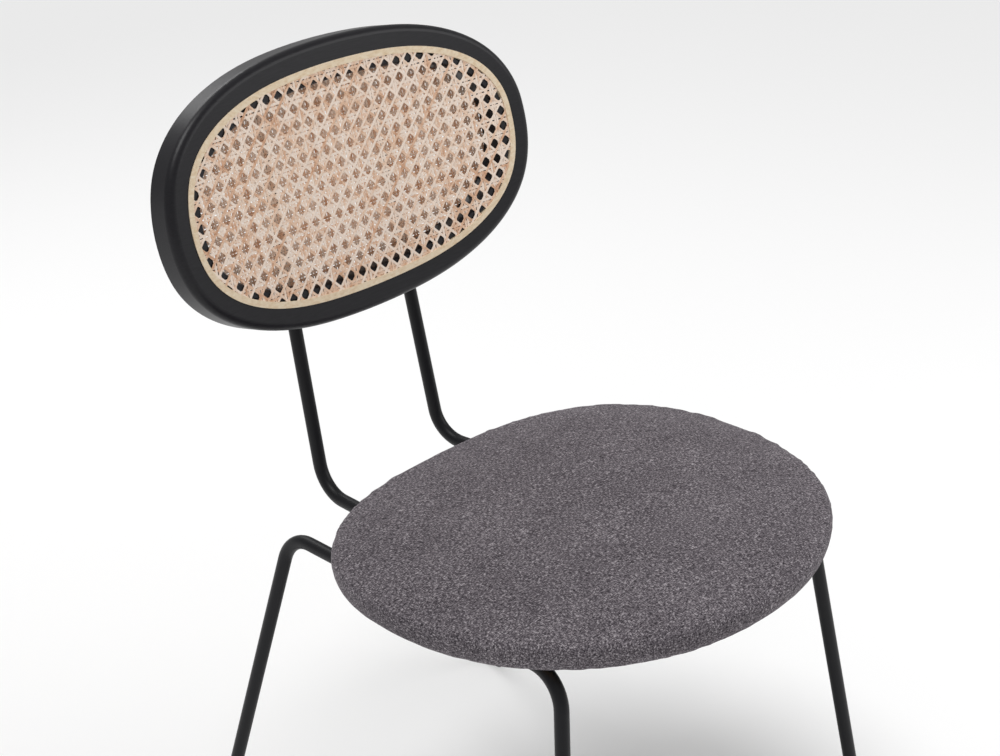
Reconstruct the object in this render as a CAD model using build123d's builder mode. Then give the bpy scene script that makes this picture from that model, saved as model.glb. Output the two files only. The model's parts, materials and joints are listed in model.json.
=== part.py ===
from build123d import *
from math import cos, pi, radians, sin
import os

os.makedirs("parts", exist_ok=True)

# Dining chair: a bent steel tube frame, a round upholstered seat and an oval back
# of bent wood with woven cane on both faces. Millimetres, +Z up, front towards -Y,
# origin on the floor under the middle of the chair's overall box.

# steel tube
tube_diameter = 14.0
tube_wall = 2.0
tube_radius = tube_diameter / 2
bore_radius = tube_radius - tube_wall
bend_radius = 37.5

# plane through the centre lines of the side rails, falling slightly to the rear
rail_height = 386.9
rail_reference_y = -188.44
rail_slope = -0.0248

# side frames: corners where the leg lines meet the rails, and leg splay per unit of drop
front_corner_x = 189.7
front_corner_y = -211.44
rear_corner_x = 170.4
rear_corner_y = 157.36
front_splay_out = 0.138
front_splay_forward = 0.166
rear_splay_out = 0.117
rear_splay_back = 0.234
tube_end_height = 6.0
rest_gap = 0.02

# cross rails welded under the side rails
cross_rail_stations = {"front": -136.5, "rear": 28.5}
cross_rail_overhang = 4.0
plug_head_radius = 7.8
plug_stem_length = 14.0
end_plug_thickness = 1.5

# oval back
back_centre_y = 240.76
back_centre_z = 690.7
back_tilt = 13.0
back_curve_radius = 1957.0
back_half_width = 244.2
back_half_height = 138.2
back_thickness = 28.7
outer_exponent = 2.36
inner_exponent = 2.47
band_width = 23.4
spline_width = 6.5
cane_thickness = 1.4
groove_depth = 6.5
ledge_width = 10.0
edge_round = 7.5
spline_proud = 0.8
spline_depth = 4.6
cane_pitch = 16.1
cane_hole_radius = 4.8

# back uprights, measured in the tilted plane of the back
upright_gap = 9.7
upright_x_at_back_foot = 81.0
upright_splay = -0.0272
upright_top = 121.8
arm_front_y = -170.0
arm_splay = 0.078
top_fixing = 114.6
bottom_fixing = -122.4
screw_radius = 2.4
screw_head_radius = 4.8
screw_head_height = 2.8
screw_bite = 15.0
spacer_radius = 6.0

# round seat: egg-shaped plan, wider behind its middle
seat_station_y = -74.44
seat_half_width = 253.7
seat_front_depth = 232.1
seat_rear_depth = 193.7
seat_front_exponent = 2.07
seat_rear_exponent = 2.5
seat_edge_height = 24.4
seat_under_inset = 10.2
seat_crown_height = 49.4
seat_dome_reach = 220.5
seat_dome_power = 0.25
dome_insets = (1, 3.5, 9, 20, 40, 75, 115, 155)
rim_softening = 9.0
cover_thickness = 1.4
dust_cover_thickness = 0.8
wrap_width = 34.0
board_thickness = 12.0
dust_cover_inset = 10.0

# seat fixings
tab_length = 32.0
tab_width = 24.0
tab_thickness = 3.0
tab_offset = 22.0
tab_stations = {"front": -169.5, "rear": 72.5}
bolt_radius = 3.0
bolt_head_radius = 5.5
bolt_head_height = 3.3
washer_radius = 7.0
washer_thickness = 1.2
nut_flange_radius = 9.5
nut_flange_thickness = 1.4
nut_barrel_radius = 4.2
nut_barrel_length = 9.0
staple_count = 18
staple_crown = 11.0
staple_wire = 1.0
staple_leg = 6.0
staple_inset = 16.0
staple_room = 14.0


def rail_z(y):
    """Height of the side rails' centre line at a station y."""
    return rail_height + rail_slope * (y - rail_reference_y)


# planes of the tilted back: face_plane looks out of its front, curve_plane along its height
tilt = radians(back_tilt)
back_centre = Vector(0, back_centre_y, back_centre_z)
back_up = Vector(0, sin(tilt), cos(tilt))
back_front = Vector(0, -cos(tilt), sin(tilt))
face_plane = Plane(origin=back_centre, x_dir=(1, 0, 0), z_dir=back_front)
curve_plane = Plane(origin=back_centre + back_front * back_curve_radius, x_dir=(1, 0, 0), z_dir=back_up)

# plane of the seat's underside, resting on the rails
seat_plane = Plane(
    origin=(0, seat_station_y, rail_z(seat_station_y) + tube_radius + rest_gap),
    x_dir=(1, 0, 0),
    z_dir=(0, -rail_slope, 1),
)


def signed_power(value, exponent):
    return abs(value) ** exponent * (1 if value > 0 else -1)


def oval_points(half_width, half_height, exponent, points=28):
    """Points of a superellipse, for a closed spline."""
    turns = [2 * pi * (step + 0.5) / points for step in range(points)]
    return [
        (
            half_width * signed_power(cos(turn), 2 / exponent),
            half_height * signed_power(sin(turn), 2 / exponent),
        )
        for turn in turns
    ]


def seat_point(inset, turn):
    """Point of the seat's plan, drawn in by an inset, at a turn from the right-hand side."""
    front = sin(turn) < 0
    depth = (seat_front_depth if front else seat_rear_depth) - inset
    exponent = seat_front_exponent if front else seat_rear_exponent
    across = (seat_half_width - inset) * signed_power(cos(turn), 2 / exponent)
    along = depth * signed_power(sin(turn), 2 / exponent)
    return across, along


def seat_points(inset, points=32):
    """Egg-shaped plan of the seat, drawn in by an inset."""
    return [seat_point(inset, 2 * pi * (step + 0.5) / points) for step in range(points)]


def back_points(inset):
    """Oval at an inset from the outer edge of the back."""
    exponent = inner_exponent if inset > band_width / 2 else outer_exponent
    return oval_points(back_half_width - inset, back_half_height - inset, exponent)


def curved_band(outer_inset, inner_inset, front_depth, back_depth):
    """Band between two ovals and between two depths behind the curved front face.

    An inner inset of None gives a whole curved sheet."""
    front_radius = back_curve_radius - back_thickness / 2 + front_depth
    back_radius = back_curve_radius - back_thickness / 2 + back_depth
    with BuildPart() as band:
        with BuildSketch(face_plane):
            with BuildLine():
                Spline(*back_points(outer_inset), periodic=True)
            make_face()
            if inner_inset is not None:
                with BuildLine():
                    Spline(*back_points(inner_inset), periodic=True)
                make_face(mode=Mode.SUBTRACT)
        extrude(amount=back_thickness * 2, both=True)
        with BuildSketch(curve_plane):
            Circle(back_radius)
            Circle(front_radius, mode=Mode.SUBTRACT)
        extrude(amount=back_half_height + 20, both=True, mode=Mode.INTERSECT)
    return band


def finish(piece, label):
    """Name a piece and write its STEP file."""
    piece.part.label = label
    export_step(piece.part, f"parts/{label}.step")


def rod(path, radius):
    """Solid round bar along a path."""
    with BuildPart() as bar:
        with BuildSketch(Plane(origin=path @ 0, z_dir=path % 0)):
            Circle(radius)
        sweep(path=path)
    return bar


def tube(path, drilled=None):
    """Round tube along a path, drilled by another piece if one is given."""
    with BuildPart() as pipe:
        with BuildSketch(Plane(origin=path @ 0, z_dir=path % 0)):
            Circle(tube_radius)
            Circle(bore_radius, mode=Mode.SUBTRACT)
        sweep(path=path)
        if drilled is not None:
            add(drilled.part, mode=Mode.SUBTRACT)
    return pipe


# ---- side frames: each is one tube bent into a front leg, a side rail and a rear leg

front_corner = Vector(front_corner_x, front_corner_y, rail_z(front_corner_y))
rear_corner = Vector(rear_corner_x, rear_corner_y, rail_z(rear_corner_y))
front_leg_down = Vector(front_splay_out, -front_splay_forward, -1)
rear_leg_down = Vector(rear_splay_out, rear_splay_back, -1)
front_foot = front_corner + front_leg_down * (front_corner.Z - tube_end_height)
rear_foot = rear_corner + rear_leg_down * (rear_corner.Z - tube_end_height)


def rail_x(y):
    """Distance of a side rail's centre line from the middle at a station y."""
    run = (y - front_corner_y) / (rear_corner_y - front_corner_y)
    return front_corner_x + run * (rear_corner_x - front_corner_x)


def mirrored(point, side):
    return Vector(point.X * side, point.Y, point.Z)


sides = {"left": -1, "right": 1}
side_bars = {}
for side_name, side in sides.items():
    corners = [mirrored(point, side) for point in (front_foot, front_corner, rear_corner, rear_foot)]
    with BuildLine() as frame_path:
        FilletPolyline(*corners, radius=bend_radius)
    side_bars[side_name] = rod(frame_path.wire(), tube_radius)
    finish(tube(frame_path.wire()), f"{side_name}_side_frame")

    for end_name, foot, down in (
        ("front", front_foot, front_leg_down),
        ("rear", rear_foot, rear_leg_down),
    ):
        axis = mirrored(down, side)
        end = mirrored(foot, side)
        with BuildPart() as foot_plug:
            with BuildSketch(Plane(origin=end, z_dir=axis)):
                Circle(plug_head_radius)
            extrude(amount=tube_end_height * 3)
            with BuildSketch(Plane(origin=end, z_dir=axis)):
                Circle(bore_radius)
            extrude(amount=-plug_stem_length)
            split(bisect_by=Plane.XY, keep=Keep.TOP)
        finish(foot_plug, f"{end_name}_{side_name}_foot_plug")

for name, station in cross_rail_stations.items():
    reach = rail_x(station) + cross_rail_overhang
    height = rail_z(station) - tube_diameter
    with BuildLine() as cross_path:
        Line((-reach, station, height), (reach, station, height))
    finish(tube(cross_path.wire()), f"{name}_cross_rail")


# ---- uprights: each is one tube that runs forward under the seat and up behind the back


def back_point(x, height, depth):
    """Point behind the middle of the back's thickness, in the back's own tilted plane."""
    return back_centre + Vector(x, 0, 0) + back_up * height - back_front * depth


upright_sagitta = upright_x_at_back_foot**2 / (2 * back_curve_radius)
upright_depth = back_thickness / 2 + upright_gap + tube_radius - upright_sagitta
ring_back_depth = back_thickness / 2 - upright_sagitta
line_start = back_point(0, 0, upright_depth)
corner_height = (rail_z(line_start.Y) - line_start.Z) / (cos(tilt) - rail_slope * sin(tilt))


def upright_x(height):
    return upright_x_at_back_foot + (height + back_half_height) * upright_splay


def fixing_plane(side, height, depth):
    """Plane at a fixing, facing straight out of the rear of the back."""
    origin = back_point(side * upright_x(height), height, depth)
    return Plane(origin=origin, x_dir=(1, 0, 0), z_dir=back_front * -1)


fixings = [(side, height) for side in sides.values() for height in (top_fixing, bottom_fixing)]

with BuildPart() as back_screws:
    for side, height in fixings:
        with BuildSketch(fixing_plane(side, height, upright_depth + tube_radius)):
            Circle(screw_head_radius)
        extrude(amount=screw_head_height)
        with BuildSketch(fixing_plane(side, height, ring_back_depth - screw_bite)):
            Circle(screw_radius)
        extrude(amount=upright_depth + tube_radius - ring_back_depth + screw_bite)
finish(back_screws, "back_screws")

upright_bars = {}
for side_name, side in sides.items():
    top = back_point(side * upright_x(upright_top), upright_top, upright_depth)
    corner = back_point(side * upright_x(corner_height), corner_height, upright_depth)
    arm_run = corner.Y - arm_front_y
    arm_end = Vector(corner.X + side * arm_splay * arm_run, arm_front_y, rail_z(arm_front_y))
    with BuildLine() as upright_path:
        FilletPolyline(arm_end, corner, top, radius=bend_radius)
    upright_bars[side_name] = rod(upright_path.wire(), tube_radius)
    finish(tube(upright_path.wire(), back_screws), f"{side_name}_upright")

    for end_name, end, outward in (
        ("arm", arm_end, arm_end - corner),
        ("upright", top, top - corner),
    ):
        with BuildPart() as end_plug:
            with BuildSketch(Plane(origin=end, z_dir=outward)):
                Circle(tube_radius)
            extrude(amount=end_plug_thickness)
            with BuildSketch(Plane(origin=end, z_dir=outward)):
                Circle(bore_radius)
            extrude(amount=-bore_radius)
            add(back_screws.part, mode=Mode.SUBTRACT)
        finish(end_plug, f"{side_name}_{end_name}_plug")


# ---- oval back: a bent wooden ring, grooved on both faces for cane held in by a reed spline

cane_inset = band_width + spline_width
groove_inner = cane_inset + cane_thickness
opening_inset = groove_inner + ledge_width
clear = 5.0

ring_blank = curved_band(0, opening_inset, 0, back_thickness)
front_groove = curved_band(band_width, groove_inner, -clear, groove_depth)
front_rebate = curved_band(groove_inner - 0.5, None, -clear, cane_thickness)
rear_groove = curved_band(
    band_width, groove_inner, back_thickness - groove_depth, back_thickness + clear
)
rear_rebate = curved_band(
    groove_inner - 0.5, None, back_thickness - cane_thickness, back_thickness + clear
)
with BuildPart() as back_ring:
    add(ring_blank.part)
    outer_edges = back_ring.edges().sort_by(SortBy.LENGTH)[-2:]
    fillet(outer_edges, radius=edge_round)
    for cutter in (front_groove, front_rebate, rear_groove, rear_rebate, back_screws):
        add(cutter.part, mode=Mode.SUBTRACT)
finish(back_ring, "back_ring")

# the grid of holes that the weave leaves, kept clear of the ledge
hole_columns = int(back_half_width / cane_pitch)
hole_rows = int(back_half_height / cane_pitch)
hole_room = opening_inset + cane_hole_radius + 1
hole_places = []
for column in range(-hole_columns, hole_columns + 1):
    for row in range(-hole_rows, hole_rows + 1):
        across = column * cane_pitch
        up = row * cane_pitch
        width_share = abs(across) / (back_half_width - hole_room)
        height_share = abs(up) / (back_half_height - hole_room)
        if width_share**inner_exponent + height_share**inner_exponent < 1:
            hole_places.append((across, up))

for face_name, sheet_front, sheet_back, lip_front, lip_back in (
    ("front", 0, cane_thickness, 0, groove_depth),
    (
        "rear",
        back_thickness - cane_thickness,
        back_thickness,
        back_thickness - groove_depth,
        back_thickness,
    ),
):
    sheet = curved_band(cane_inset, None, sheet_front, sheet_back)
    lip = curved_band(cane_inset, groove_inner, lip_front, lip_back)
    with BuildPart() as cane:
        add(sheet.part)
        add(lip.part)
        with BuildSketch(face_plane):
            with Locations(*hole_places):
                Circle(cane_hole_radius)
        extrude(amount=back_thickness * 2, both=True, mode=Mode.SUBTRACT)
    finish(cane, f"{face_name}_cane")

finish(curved_band(band_width, cane_inset, -spline_proud, spline_depth), "front_spline")
rear_spline = curved_band(
    band_width, cane_inset, back_thickness - spline_depth, back_thickness + spline_proud
)
finish(rear_spline, "rear_spline")

with BuildPart() as back_spacers:
    for side, height in fixings:
        with BuildSketch(fixing_plane(side, height, ring_back_depth - 1)):
            Circle(spacer_radius)
        extrude(amount=upright_depth - ring_back_depth + 1)
    for bar in upright_bars.values():
        add(bar.part, mode=Mode.SUBTRACT)
    add(back_ring.part, mode=Mode.SUBTRACT)
    add(rear_spline.part, mode=Mode.SUBTRACT)
    add(back_screws.part, mode=Mode.SUBTRACT)
finish(back_spacers, "back_spacers")


# ---- seat: plywood board, foam, cover wrapped under the board, dust cover, staples

wrap_height = dust_cover_thickness
board_height = wrap_height + cover_thickness


def dome_height(inset):
    """Height of the crowned top above the seat's widest line."""
    share = 1 - (1 - inset / seat_dome_reach) ** 2
    return (seat_crown_height - seat_edge_height) * share**seat_dome_power


def pillow(shrink, bottom):
    """Crowned cushion shape; shrink is how far it lies inside the cover's outside."""
    with BuildPart() as cushion:
        for turn in (90, 60, 30, 0):
            inset = seat_under_inset * (1 - cos(radians(turn))) + shrink
            height = seat_edge_height - (seat_edge_height - bottom) * sin(radians(turn))
            with BuildSketch(seat_plane.offset(height)):
                with BuildLine():
                    Spline(*seat_points(inset), periodic=True)
                make_face()
        for inset in dome_insets:
            height = seat_edge_height + dome_height(inset) - shrink * min(1, inset / rim_softening)
            with BuildSketch(seat_plane.offset(height)):
                with BuildLine():
                    Spline(*seat_points(inset + shrink), periodic=True)
                make_face()
        loft(ruled=True)
    return cushion


bolt_places = []
for station in tab_stations.values():
    for side in sides.values():
        bolt_places.append((side * (rail_x(station) - tab_offset), station - seat_station_y))


def seat_discs(radius, height, thickness, hole=0):
    """Equal discs or washers at the four seat fixings."""
    with BuildPart() as discs:
        with BuildSketch(seat_plane.offset(height)):
            with Locations(*bolt_places):
                Circle(radius)
                if hole:
                    Circle(hole, mode=Mode.SUBTRACT)
        extrude(amount=thickness)
    return discs


board_top = board_height + board_thickness
washer_height = -tab_thickness - washer_thickness

heads = seat_discs(bolt_head_radius, washer_height - bolt_head_height, bolt_head_height)
shanks = seat_discs(bolt_radius, washer_height, board_top + nut_flange_thickness - washer_height)
with BuildPart() as seat_bolts:
    add(heads.part)
    add(shanks.part)
finish(seat_bolts, "seat_bolts")
finish(seat_discs(washer_radius, washer_height, washer_thickness, bolt_radius), "seat_washers")

flanges = seat_discs(nut_flange_radius, board_top, nut_flange_thickness)
barrels = seat_discs(nut_barrel_radius, board_top - nut_barrel_length, nut_barrel_length)
with BuildPart() as tee_nuts:
    add(flanges.part)
    add(barrels.part)
    add(shanks.part, mode=Mode.SUBTRACT)
finish(tee_nuts, "tee_nuts")

for name, station in tab_stations.items():
    for side_name, side in sides.items():
        reach = side * (rail_x(station) - tab_offset)
        with BuildPart() as tab:
            with BuildSketch(seat_plane.offset(-tab_thickness)):
                with Locations((reach, station - seat_station_y)):
                    RectangleRounded(tab_length, tab_width, 4)
            extrude(amount=tab_thickness)
            add(side_bars[side_name].part, mode=Mode.SUBTRACT)
            add(shanks.part, mode=Mode.SUBTRACT)
        finish(tab, f"{name}_{side_name}_seat_tab")

# staples through the dust cover and the cover's wrap into the board, clear of the tubes
staple_wall = staple_crown / 2 - staple_wire / 2
with BuildPart() as staples:
    for step in range(staple_count):
        turn = 2 * pi * (step + 0.5) / staple_count
        across, along = seat_point(seat_under_inset + staple_inset, turn)
        if abs(abs(across) - rail_x(along + seat_station_y)) < staple_room:
            continue
        ahead, beyond = seat_point(seat_under_inset + staple_inset, turn + 0.01)
        lean = Vector(ahead - across, beyond - along).get_signed_angle(Vector(1, 0))
        crown_plane = seat_plane.offset(-staple_wire)
        with BuildSketch(crown_plane):
            with Locations(Location((across, along), -lean)):
                Rectangle(staple_crown, staple_wire)
        extrude(amount=staple_wire)
        with BuildSketch(crown_plane):
            with Locations(Location((across, along), -lean)):
                with Locations((-staple_wall, 0), (staple_wall, 0)):
                    Rectangle(staple_wire, staple_wire)
        extrude(amount=staple_wire + staple_leg)
finish(staples, "staples")

with BuildPart() as seat_board:
    with BuildSketch(seat_plane.offset(board_height)):
        with BuildLine():
            Spline(*seat_points(seat_under_inset + cover_thickness), periodic=True)
        make_face()
    extrude(amount=board_thickness)
    for fixing in (shanks, tee_nuts, staples):
        add(fixing.part, mode=Mode.SUBTRACT)
finish(seat_board, "seat_board")

filling = pillow(cover_thickness, board_height)
with BuildPart() as seat_foam:
    add(filling.part)
    with BuildSketch(seat_plane.offset(board_height)):
        with BuildLine():
            Spline(*seat_points(seat_under_inset + cover_thickness), periodic=True)
        make_face()
    extrude(amount=board_thickness, mode=Mode.SUBTRACT)
    for fixing in (shanks, tee_nuts):
        add(fixing.part, mode=Mode.SUBTRACT)
finish(seat_foam, "seat_foam")

outside = pillow(0, wrap_height)
with BuildPart() as seat_cover:
    add(outside.part)
    add(filling.part, mode=Mode.SUBTRACT)
    with BuildSketch(seat_plane.offset(wrap_height - 1)):
        with BuildLine():
            Spline(*seat_points(seat_under_inset + wrap_width), periodic=True)
        make_face()
    extrude(amount=cover_thickness + 2, mode=Mode.SUBTRACT)
    add(staples.part, mode=Mode.SUBTRACT)
finish(seat_cover, "seat_cover")

with BuildPart() as dust_cover:
    with BuildSketch(seat_plane):
        with BuildLine():
            Spline(*seat_points(seat_under_inset + dust_cover_inset), periodic=True)
        make_face()
    extrude(amount=dust_cover_thickness)
    for fixing in (shanks, staples):
        add(fixing.part, mode=Mode.SUBTRACT)
finish(dust_cover, "dust_cover")
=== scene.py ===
import bpy
import json
import math
import random
from mathutils import Matrix, Vector


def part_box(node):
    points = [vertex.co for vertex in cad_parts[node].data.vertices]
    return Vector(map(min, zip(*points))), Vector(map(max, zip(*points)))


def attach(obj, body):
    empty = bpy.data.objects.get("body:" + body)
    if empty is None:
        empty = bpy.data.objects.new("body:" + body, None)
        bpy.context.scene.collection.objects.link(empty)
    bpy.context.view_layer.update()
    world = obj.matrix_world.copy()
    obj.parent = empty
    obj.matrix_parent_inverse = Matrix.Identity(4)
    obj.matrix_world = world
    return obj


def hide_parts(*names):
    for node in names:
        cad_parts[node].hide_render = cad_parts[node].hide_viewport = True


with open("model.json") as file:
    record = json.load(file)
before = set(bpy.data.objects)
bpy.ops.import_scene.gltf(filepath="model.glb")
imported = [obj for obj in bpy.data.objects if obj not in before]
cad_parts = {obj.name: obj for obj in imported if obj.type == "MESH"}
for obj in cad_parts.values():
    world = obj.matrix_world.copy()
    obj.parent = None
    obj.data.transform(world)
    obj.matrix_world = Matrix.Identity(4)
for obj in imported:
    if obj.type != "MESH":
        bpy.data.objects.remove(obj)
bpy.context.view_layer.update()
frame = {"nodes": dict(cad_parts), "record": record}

random.seed(11)
nodes = frame["nodes"]


def clearSelection():
    if bpy.context.object and bpy.context.object.mode != "OBJECT":
        bpy.ops.object.mode_set(mode="OBJECT")
    bpy.ops.object.select_all(action="DESELECT")


def pick(*objects):
    clearSelection()
    for item in objects:
        item.select_set(True)
    bpy.context.view_layer.objects.active = objects[0]


def settle(item):  # put the piece's place into its mesh
    pick(item)
    bpy.ops.object.transform_apply(location=True, rotation=True, scale=True)


def hexColour(text):  # sRGB hex to the linear colour that a shader wants
    parts = [int(text[start:start + 2], 16) / 255 for start in (1, 3, 5)]
    linear = [part / 12.92 if part <= 0.04045 else ((part + 0.055) / 1.055) ** 2.4 for part in parts]
    return (*linear, 1.0)


def addNode(tree, kind, settings=None, links=None):
    node = tree.nodes.new(kind)
    for name, value in (settings or {}).items():
        if isinstance(name, int) or name in node.inputs:
            node.inputs[name].default_value = value
        else:
            setattr(node, name, value)
    for name, socket in (links or {}).items():
        tree.links.new(socket, node.inputs[name])
    return node


def newMaterial(name, settings):
    material = bpy.data.materials.new(name)
    material.use_nodes = True
    tree = material.node_tree
    shader = tree.nodes["Principled BSDF"]
    for key, value in settings.items():
        shader.inputs[key].default_value = value
    return material, tree, shader


def objectPlace(tree, perMetre):
    coords = addNode(tree, "ShaderNodeTexCoord")
    mapping = addNode(tree, "ShaderNodeMapping", {"Scale": perMetre}, {"Vector": coords.outputs["Object"]})
    return mapping.outputs["Vector"]


def ramp(tree, factor, stops):
    node = addNode(tree, "ShaderNodeValToRGB", links={"Fac": factor})
    points = node.color_ramp.elements
    while len(points) < len(stops):
        points.new(0.5)
    for point, (place, colour) in zip(points, stops):
        point.position = place
        point.color = hexColour(colour)
    return node.outputs["Color"]


def addBump(tree, shader, height, strength, distance):
    bump = addNode(tree, "ShaderNodeBump", {"Strength": strength, "Distance": distance}, {"Height": height})
    tree.links.new(bump.outputs["Normal"], shader.inputs["Normal"])


def powderCoat():
    # polyester powder baked on steel tube: matt black with a fine orange peel that blurs highlights
    material, tree, shader = newMaterial(
        "powderCoatedSteel", {"Roughness": 0.42, "Specular IOR Level": 0.25})
    grit = addNode(tree, "ShaderNodeTexNoise", {"Scale": 1.0, "Detail": 3.0},
                   {"Vector": objectPlace(tree, (1400, 1400, 1400))})
    tone = ramp(tree, grit.outputs["Fac"], [(0.3, "#0f0f12"), (0.7, "#17171b")])
    tree.links.new(tone, shader.inputs["Base Color"])
    addBump(tree, shader, grit.outputs["Fac"], 0.25, 0.0002)
    return material


def blackLacquer():
    # bent beech sprayed with black satin lacquer: smooth, faint grain under the film
    material, tree, shader = newMaterial(
        "satinBlackLacqueredBeech",
        {"Roughness": 0.38, "Specular IOR Level": 0.24, "Coat Weight": 0.06, "Coat Roughness": 0.25})
    grain = addNode(tree, "ShaderNodeTexNoise", {"Scale": 1.0, "Detail": 5.0},
                    {"Vector": objectPlace(tree, (60, 700, 700))})
    tone = ramp(tree, grain.outputs["Fac"], [(0.3, "#161519"), (0.7, "#1e1d21")])
    tree.links.new(tone, shader.inputs["Base Color"])
    addBump(tree, shader, grain.outputs["Fac"], 0.12, 0.0003)
    return material


def wovenCane():
    # split rattan bark, 2.3 mm strands: pale straw with warm orange patches and fine length streaks
    material, tree, shader = newMaterial("naturalCaneStrand", {"Roughness": 0.5, "Specular IOR Level": 0.4})
    tone = addNode(tree, "ShaderNodeAttribute", {"attribute_name": "strandTone"})
    patches = addNode(tree, "ShaderNodeTexNoise", {"Scale": 1.0, "Detail": 4.0, "Roughness": 0.65},
                      {"Vector": objectPlace(tree, (110, 110, 110))})
    fleck = addNode(tree, "ShaderNodeTexNoise", {"Scale": 1.0, "Detail": 2.0},
                    {"Vector": objectPlace(tree, (700, 700, 700))})
    share = addNode(tree, "ShaderNodeMath", {"operation": "MULTIPLY", 1: 0.45}, {0: tone.outputs["Fac"]})
    mixed = addNode(tree, "ShaderNodeMath", {"operation": "ADD"},
                    {0: share.outputs[0], 1: patches.outputs["Fac"]})
    flecked = addNode(tree, "ShaderNodeMath", {"operation": "MULTIPLY", 1: 0.35}, {0: fleck.outputs["Fac"]})
    total = addNode(tree, "ShaderNodeMath", {"operation": "ADD"},
                    {0: mixed.outputs[0], 1: flecked.outputs[0]})
    colour = ramp(tree, total.outputs[0],
                  [(0.45, "#a87150"), (0.62, "#dcae8c"), (0.82, "#efcfb5"), (1.0, "#f8e6d6")])
    tree.links.new(colour, shader.inputs["Base Color"])
    addBump(tree, shader, fleck.outputs["Fac"], 0.3, 0.0003)
    return material


def reedSpline():
    # peeled round reed pressed in a groove: even cream with faint fibres
    material, tree, shader = newMaterial("peeledReedSpline", {"Roughness": 0.55, "Specular IOR Level": 0.35})
    fibre = addNode(tree, "ShaderNodeTexNoise", {"Scale": 1.0, "Detail": 5.0, "Roughness": 0.6},
                    {"Vector": objectPlace(tree, (160, 900, 260))})
    colour = ramp(tree, fibre.outputs["Fac"], [(0.25, "#dcc09a"), (0.5, "#ebd6b8"), (0.75, "#f4e6cd")])
    tree.links.new(colour, shader.inputs["Base Color"])
    addBump(tree, shader, fibre.outputs["Fac"], 0.2, 0.0003)
    return material


def melangeFabric():
    # polyester melange weave: grey and near-black yarns about 1 mm thick, brushed, so the rim looks paler
    material, tree, shader = newMaterial(
        "melangeUpholsteryWeave",
        {"Roughness": 0.92, "Specular IOR Level": 0.15, "Sheen Weight": 0.18, "Sheen Roughness": 0.45,
         "Sheen Tint": hexColour("#cfc8cc")})
    warp = addNode(tree, "ShaderNodeTexNoise", {"Scale": 1.0, "Detail": 2.0, "Roughness": 0.7},
                   {"Vector": objectPlace(tree, (330, 900, 700))})
    weft = addNode(tree, "ShaderNodeTexNoise", {"Scale": 1.0, "Detail": 2.0, "Roughness": 0.7},
                   {"Vector": objectPlace(tree, (900, 330, 700))})
    yarns = addNode(tree, "ShaderNodeMath", {"operation": "ADD"},
                    {0: warp.outputs["Fac"], 1: weft.outputs["Fac"]})
    half = addNode(tree, "ShaderNodeMath", {"operation": "MULTIPLY", 1: 0.5}, {0: yarns.outputs[0]})
    cloud = addNode(tree, "ShaderNodeTexNoise", {"Scale": 1.0, "Detail": 2.0},
                    {"Vector": objectPlace(tree, (14, 14, 14))})
    shift = addNode(tree, "ShaderNodeMath", {"operation": "MULTIPLY_ADD", 1: 0.06, 2: -0.03},
                    {0: cloud.outputs["Fac"]})
    total = addNode(tree, "ShaderNodeMath", {"operation": "ADD"}, {0: half.outputs[0], 1: shift.outputs[0]})
    colour = ramp(tree, total.outputs[0],
                  [(0.36, "#1f1c20"), (0.45, "#4a454a"), (0.54, "#6d676c"), (0.64, "#b3adb1")])
    tree.links.new(colour, shader.inputs["Base Color"])
    addBump(tree, shader, total.outputs[0], 0.6, 0.0008)
    return material


def plainGrain(name, dark, light, roughness, perMetre, metallic=0.0, bump=0.2):
    material, tree, shader = newMaterial(name, {"Roughness": roughness, "Metallic": metallic})
    noise = addNode(tree, "ShaderNodeTexNoise", {"Scale": 1.0, "Detail": 4.0},
                    {"Vector": objectPlace(tree, perMetre)})
    tree.links.new(ramp(tree, noise.outputs["Fac"], [(0.3, dark), (0.7, light)]), shader.inputs["Base Color"])
    addBump(tree, shader, noise.outputs["Fac"], bump, 0.0004)
    return material


print("materials")
coat = powderCoat()
lacquer = blackLacquer()
cane = wovenCane()
reed = reedSpline()
fabric = melangeFabric()
# moulded polypropylene: dull black with fine spark texture
plastic = plainGrain("mouldedBlackPlastic", "#151517", "#1f1f22", 0.55, (900, 900, 900))
# zinc-plated pressed steel: pale grey, slightly mottled
zinc = plainGrain("zincPlatedSteel", "#a8abad", "#c4c6c8", 0.35, (500, 500, 500), metallic=1.0)
# black oxide on screw heads: dark with a dull shine
oxide = plainGrain("blackOxideSteel", "#161618", "#232326", 0.4, (800, 800, 800), metallic=0.6)
# birch plywood edge and face: warm pale wood with long grain
birch = plainGrain("birchPlywood", "#b08d5e", "#d0b080", 0.6, (20, 500, 900))
# polyurethane foam: cream, open cells
foam = plainGrain("openCellFoam", "#d9cda8", "#efe6c8", 0.95, (700, 700, 700), bump=0.6)
# spun-bonded lining: black felted sheet
lining = plainGrain("spunBondedLining", "#131314", "#222224", 0.9, (900, 500, 500), bump=0.5)

finishes = {
    "black_steel": coat,
    "black_wood": lacquer,
    "cane": cane,
    "reed": reed,
    "fabric": fabric,
    "black_plastic": plastic,
    "zinc_steel": zinc,
    "black_screw": oxide,
    "plywood": birch,
    "foam": foam,
    "lining": lining,
}
for part in frame["record"]["subparts"]:
    node = nodes[part["node"]]
    node.data.materials.clear()
    node.data.materials.append(finishes[part["material_slot"]])


backShape = {
    "tilt": math.radians(13.0),
    "curveRadius": 1.957,
    "halfWidth": 0.2442,
    "halfHeight": 0.1382,
    "thickness": 0.0287,
    "ovalPower": 2.47,
    "centre": (0, 0.24076, 0.6907),
}
backCentre = Vector(backShape["centre"])
backUp = Vector((0, math.sin(backShape["tilt"]), math.cos(backShape["tilt"])))
backFront = Vector((0, -math.cos(backShape["tilt"]), math.sin(backShape["tilt"])))


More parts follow.
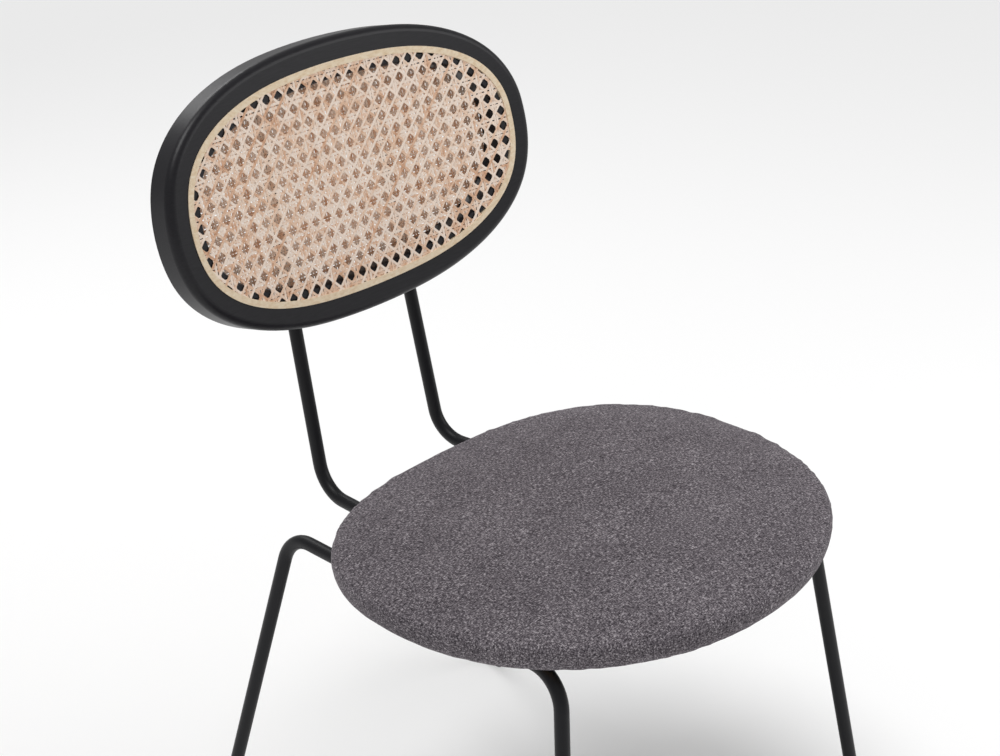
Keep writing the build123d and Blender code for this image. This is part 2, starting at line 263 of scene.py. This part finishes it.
def onBack(across, up, depth):  # depth is measured from the front face towards the rear
    radius = backShape["curveRadius"] - backShape["thickness"] / 2 + depth
    turn = across / backShape["curveRadius"]
    behind = radius * math.cos(turn) - backShape["curveRadius"]
    return backCentre + Vector((radius * math.sin(turn), 0, 0)) + backUp * up - backFront * behind


def insideOval(across, up, inset):
    width = abs(across) / (backShape["halfWidth"] - inset)
    height = abs(up) / (backShape["halfHeight"] - inset)
    return width ** backShape["ovalPower"] + height ** backShape["ovalPower"] < 1


weave = {
    "pitch": 0.0161,
    "strandWidth": 0.0025,
    "strandThickness": 0.0004,
    "pairGap": 0.0034,
    "lift": 0.00022,
    "diagonalLift": 0.0005,
    "trimInset": 0.0268,  # the weave's cut edge, tucked inside the reed
    "step": 0.0055,
    "halfLength": 0.265,
    "drift": 0.0003,
    "depth": 0.0006,  # of the weave's middle below the face of the ring
    "columns": 16,    # strand pairs and diagonals counted each way from the middle
    "rows": 9,
    "diagonals": 25,
    "fallShare": 0.55,
    "diagonalWave": 0.6,
}


def strandPlan():  # each strand: middle point, direction, kind, number
    pitch = weave["pitch"]
    plan = []
    for column in range(-weave["columns"], weave["columns"]):
        for side in (-0.5, 0.5):
            plan.append(((column + 0.5) * pitch + side * weave["pairGap"], 0, math.pi / 2, "warp", column))
    for row in range(-weave["rows"], weave["rows"]):
        for side in (-0.5, 0.5):
            plan.append((0, (row + 0.5) * pitch + side * weave["pairGap"], 0, "weft", row))
    for number in range(-weave["diagonals"], weave["diagonals"]):
        plan.append(((number + 0.5) * pitch, 0, math.pi / 4, "rise", number))
        plan.append(((number + 0.5) * pitch, 0, -math.pi / 4, "fall", number))
    return plan


def strandHeight(kind, number, across, up):
    pitch = weave["pitch"]
    if kind == "warp":
        return weave["lift"] * math.sin(math.pi * up / pitch) * (-1) ** number
    if kind == "weft":
        return -weave["lift"] * math.sin(math.pi * across / pitch) * (-1) ** number
    wave = math.cos(math.pi * (across + up) / pitch)
    base = weave["diagonalLift"] if kind == "rise" else weave["diagonalLift"] * weave["fallShare"]
    return base + weave["lift"] * weave["diagonalWave"] * wave


def weaveSheet(name, faceDepth, outward):
    # one flat ribbon is made, then copied along the four directions of the weave
    halfLength = weave["halfLength"]
    clearSelection()
    lengths = int(2 * halfLength / weave["step"])
    bpy.ops.mesh.primitive_grid_add(x_subdivisions=lengths, y_subdivisions=2, size=1)
    ribbon = bpy.context.object
    ribbon.scale = (2 * halfLength, weave["strandWidth"], 1)
    settle(ribbon)
    strands = []
    for middleAcross, middleUp, turn, kind, number in strandPlan():
        copy = ribbon.copy()
        copy.data = ribbon.data.copy()
        bpy.context.collection.objects.link(copy)
        place = Matrix.Translation((middleAcross, middleUp, 0)) @ Matrix.Rotation(turn, 4, "Z")
        copy.data.transform(place)
        drift = random.uniform(-1, 1) * weave["drift"]
        tone = random.random()
        attribute = copy.data.attributes.new("strandTone", "FLOAT", "POINT")
        attribute.data.foreach_set("value", [tone] * len(copy.data.vertices))
        for vertex in copy.data.vertices:
            across, up = vertex.co.x + drift, vertex.co.y + drift
            vertex.co = (across, up, strandHeight(kind, number, across, up))
        strands.append(copy)
    pick(ribbon)
    bpy.ops.object.delete()
    pick(*strands)
    bpy.ops.object.join()
    sheet = bpy.context.object
    sheet.name = name
    # trim to the oval, under the reed
    pick(sheet)
    bpy.ops.object.mode_set(mode="EDIT")
    bpy.ops.mesh.select_mode(type="FACE")
    bpy.ops.mesh.select_all(action="DESELECT")
    bpy.ops.object.mode_set(mode="OBJECT")
    for face in sheet.data.polygons:
        face.select = not insideOval(face.center.x, face.center.y, weave["trimInset"])
    bpy.ops.object.mode_set(mode="EDIT")
    bpy.ops.mesh.delete(type="FACE")
    bpy.ops.mesh.select_all(action="SELECT")
    bpy.ops.mesh.normals_make_consistent(inside=False)
    bpy.ops.object.mode_set(mode="OBJECT")
    solid = sheet.modifiers.new("thickness", "SOLIDIFY")
    solid.thickness = weave["strandThickness"]
    solid.offset = 0
    pick(sheet)
    bpy.ops.object.modifier_apply(modifier="thickness")
    # lay the flat weave on the curve of the back
    for vertex in sheet.data.vertices:
        across, up, lift = vertex.co
        vertex.co = onBack(across * outward, up, faceDepth - lift * outward)
    sheet.data.update()
    pick(sheet)
    bpy.ops.object.mode_set(mode="EDIT")
    bpy.ops.mesh.select_all(action="SELECT")
    bpy.ops.mesh.normals_make_consistent(inside=False)
    bpy.ops.object.mode_set(mode="OBJECT")
    sheet.data.materials.clear()
    sheet.data.materials.append(cane)
    return sheet


print("cane")
frontWeave = weaveSheet("frontCaneWeave", weave["depth"], 1)
rearWeave = weaveSheet("rearCaneWeave", backShape["thickness"] - weave["depth"], -1)
for sheet, node in ((frontWeave, "front_cane"), (rearWeave, "rear_cane")):
    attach(sheet, "root")
    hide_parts(node)


cushionShape = {
    "voxel": 0.005,
    "shrink": 0.005,
    "pressure": 4.0,
    "cap": 0.0065,
    "crownRise": 0.009,  # how much further the middle of the crown may swell than its rim
    "frames": 20,
    "relaxFactor": 0.5,
    "relaxRounds": 3,
    "clothQuality": 5,
    "tension": 20,
    "bending": 1.5,
    "coverThickness": 0.0014,
    "undersideFacing": -0.85,
    "heldBelow": 0.3,   # facing of the cover that the foam and the staples hold still
    "freeAbove": 0.85,  # facing of the crown that is free to swell
}


def seatCushion():
    # the foam's outer shape, closed over, is blown up a little inside its tight cover
    source = nodes["seat_foam"]
    cushion = source.copy()
    cushion.data = source.data.copy()
    cushion.name = "seatCushionCover"
    for key in list(cushion.keys()):
        del cushion[key]
    cushion.parent = None
    bpy.context.collection.objects.link(cushion)
    cushion.hide_render = False
    cushion.hide_set(False)
    pick(cushion)
    bpy.ops.object.mode_set(mode="EDIT")
    bpy.ops.mesh.select_all(action="SELECT")
    bpy.ops.mesh.remove_doubles(threshold=0.00001)
    bpy.ops.mesh.convex_hull()
    bpy.ops.mesh.select_all(action="SELECT")
    bpy.ops.mesh.normals_make_consistent(inside=False)
    bpy.ops.object.mode_set(mode="OBJECT")
    cushion.data.remesh_voxel_size = cushionShape["voxel"]
    bpy.ops.object.voxel_remesh()
    smooth = cushion.modifiers.new("relax", "SMOOTH")
    smooth.factor = cushionShape["relaxFactor"]
    smooth.iterations = cushionShape["relaxRounds"]
    bpy.ops.object.modifier_apply(modifier="relax")
    # the cloth lies outside the foam, but the underside stays flat on the board
    normals = [vertex.normal.copy() for vertex in cushion.data.vertices]
    for vertex, normal in zip(cushion.data.vertices, normals):
        if normal.z > cushionShape["undersideFacing"]:
            vertex.co += normal * cushionShape["coverThickness"]
    full = [vertex.co.copy() for vertex in cushion.data.vertices]
    # stapled under the board and held at its rim, the cover swells only at its crown
    span = cushionShape["freeAbove"] - cushionShape["heldBelow"]
    freedom = [min(1, max(0, (normal.z - cushionShape["heldBelow"]) / span)) for normal in normals]
    held = cushion.vertex_groups.new(name="heldByBoard")
    for vertex, point, normal, share in zip(cushion.data.vertices, full, normals, freedom):
        vertex.co = point - normal * cushionShape["shrink"] * share
        held.add([vertex.index], 1 - share, "REPLACE")
    rest = [vertex.co.copy() for vertex in cushion.data.vertices]
    cloth = cushion.modifiers.new("cloth", "CLOTH")
    cloth.settings.use_pressure = True
    cloth.settings.uniform_pressure_force = cushionShape["pressure"]
    cloth.settings.effector_weights.gravity = 0
    cloth.settings.quality = cushionShape["clothQuality"]
    cloth.settings.tension_stiffness = cushionShape["tension"]
    cloth.settings.bending_stiffness = cushionShape["bending"]
    cloth.settings.vertex_group_mass = held.name
    scene = bpy.context.scene
    for frameNumber in range(1, cushionShape["frames"] + 1):
        scene.frame_set(frameNumber)
    evaluated = cushion.evaluated_get(bpy.context.evaluated_depsgraph_get())
    blown = [vertex.co.copy() for vertex in evaluated.data.vertices]
    cushion.modifiers.remove(cloth)
    scene.frame_set(1)
    low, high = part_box("seat_cover")
    middle, half = (low + high) / 2, (high - low) / 2
    for vertex, start, end, share in zip(cushion.data.vertices, rest, blown, freedom):
        move = end - start
        outward = ((start.x - middle.x) / half.x) ** 2 + ((start.y - middle.y) / half.y) ** 2
        limit = (cushionShape["cap"] + cushionShape["crownRise"] * max(0, 1 - outward)) * share
        if move.length > limit:
            move = move.normalized() * limit
        vertex.co = start + move
    relax = cushion.modifiers.new("relax", "SMOOTH")
    relax.factor = cushionShape["relaxFactor"]
    relax.iterations = cushionShape["relaxRounds"]
    bpy.ops.object.modifier_apply(modifier="relax")
    soften = cushion.modifiers.new("finer", "SUBSURF")
    soften.levels = 1
    soften.render_levels = 1
    bpy.ops.object.modifier_apply(modifier="finer")
    bpy.ops.object.shade_smooth()
    cushion.data.materials.clear()
    cushion.data.materials.append(fabric)
    return cushion


print("cushion")
cushion = seatCushion()
places = [vertex.co for vertex in cushion.data.vertices]
print("cushion low", [round(min(place[axis] for place in places), 4) for axis in range(3)],
      "high", [round(max(place[axis] for place in places), 4) for axis in range(3)])
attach(cushion, "root")
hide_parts("seat_cover", "seat_foam")


studio = {
    "floorSize": 60.0,
    "floorColour": "#f7f7f7",
    "backdrop": 1.0,
    "roomLight": 0.42,
    "keyStrength": 1.5,
    "keySpread": math.radians(30),
    "keyFrom": (-0.5, 0.1, 2.0),
    "fillPower": 12.0,
    "fillFrom": (1.6, -1.4, 1.6),
    "fillSize": 1.4,
    "rimPower": 9.0,
    "rimFrom": (0.4, 1.8, 1.9),
    "rimSize": 1.0,
}


def buildStage():
    clearSelection()
    bpy.ops.mesh.primitive_plane_add(size=studio["floorSize"], location=(0, 0, -0.0005))
    floor = bpy.context.object
    floor.name = "studioFloor"
    settle(floor)
    floorFinish = {"Roughness": 0.9, "Base Color": hexColour(studio["floorColour"])}
    material, tree, shader = newMaterial("matFloor", floorFinish)
    floor.data.materials.append(material)
    # the backdrop is seen white, while the room lights the chair more dimly
    world = bpy.data.worlds.new("studioWorld")
    world.use_nodes = True
    tree = world.node_tree
    seen = addNode(tree, "ShaderNodeLightPath").outputs["Is Camera Ray"]
    strength = addNode(tree, "ShaderNodeMapRange",
                       {"To Min": studio["roomLight"], "To Max": studio["backdrop"]}, {"Value": seen})
    tree.nodes["Background"].inputs["Color"].default_value = (1, 1, 1, 1)
    tree.links.new(strength.outputs["Result"], tree.nodes["Background"].inputs["Strength"])
    bpy.context.scene.world = world


def softBox(name, place, aim, size, power):
    lamp = bpy.data.lights.new(name, "AREA")
    lamp.shape = "DISK"
    lamp.size = size
    lamp.energy = power
    box = bpy.data.objects.new(name, lamp)
    box.location = place
    box.rotation_euler = (Vector(aim) - Vector(place)).to_track_quat("-Z", "Y").to_euler()
    bpy.context.collection.objects.link(box)


def keyLight(place):  # a far, wide lamp, so the floor stays as bright at the back as at the front
    lamp = bpy.data.lights.new("keyLight", "SUN")
    lamp.energy = studio["keyStrength"]
    lamp.angle = studio["keySpread"]
    key = bpy.data.objects.new("keyLight", lamp)
    key.rotation_euler = (-Vector(place)).to_track_quat("-Z", "Y").to_euler()
    bpy.context.collection.objects.link(key)


cameraSet = {
    "azimuth": 47.73,     # turned from the chair's front towards its left
    "elevation": 25.52,
    "distance": 1.79,
    "aim": (-0.0822, -0.0424, 0.5828),
    "lens": 70.52,
}


def placeCamera():
    turn = math.radians(cameraSet["azimuth"])
    rise = math.radians(cameraSet["elevation"])
    look = Vector((math.sin(turn) * math.cos(rise), math.cos(turn) * math.cos(rise), -math.sin(rise)))
    camera = bpy.data.objects.new("studioCamera", bpy.data.cameras.new("studioCamera"))
    camera.data.lens = cameraSet["lens"]
    camera.data.sensor_width = 36
    camera.location = Vector(cameraSet["aim"]) - look * cameraSet["distance"]
    camera.rotation_euler = look.to_track_quat("-Z", "Y").to_euler()
    bpy.context.collection.objects.link(camera)
    bpy.context.scene.camera = camera


print("stage")
buildStage()
keyLight(studio["keyFrom"])
softBox("fillLight", studio["fillFrom"], (0, 0, 0.4), studio["fillSize"], studio["fillPower"])
softBox("rimLight", studio["rimFrom"], (0, 0, 0.6), studio["rimSize"], studio["rimPower"])
placeCamera()
bpy.context.scene.view_settings.view_transform = "Standard"
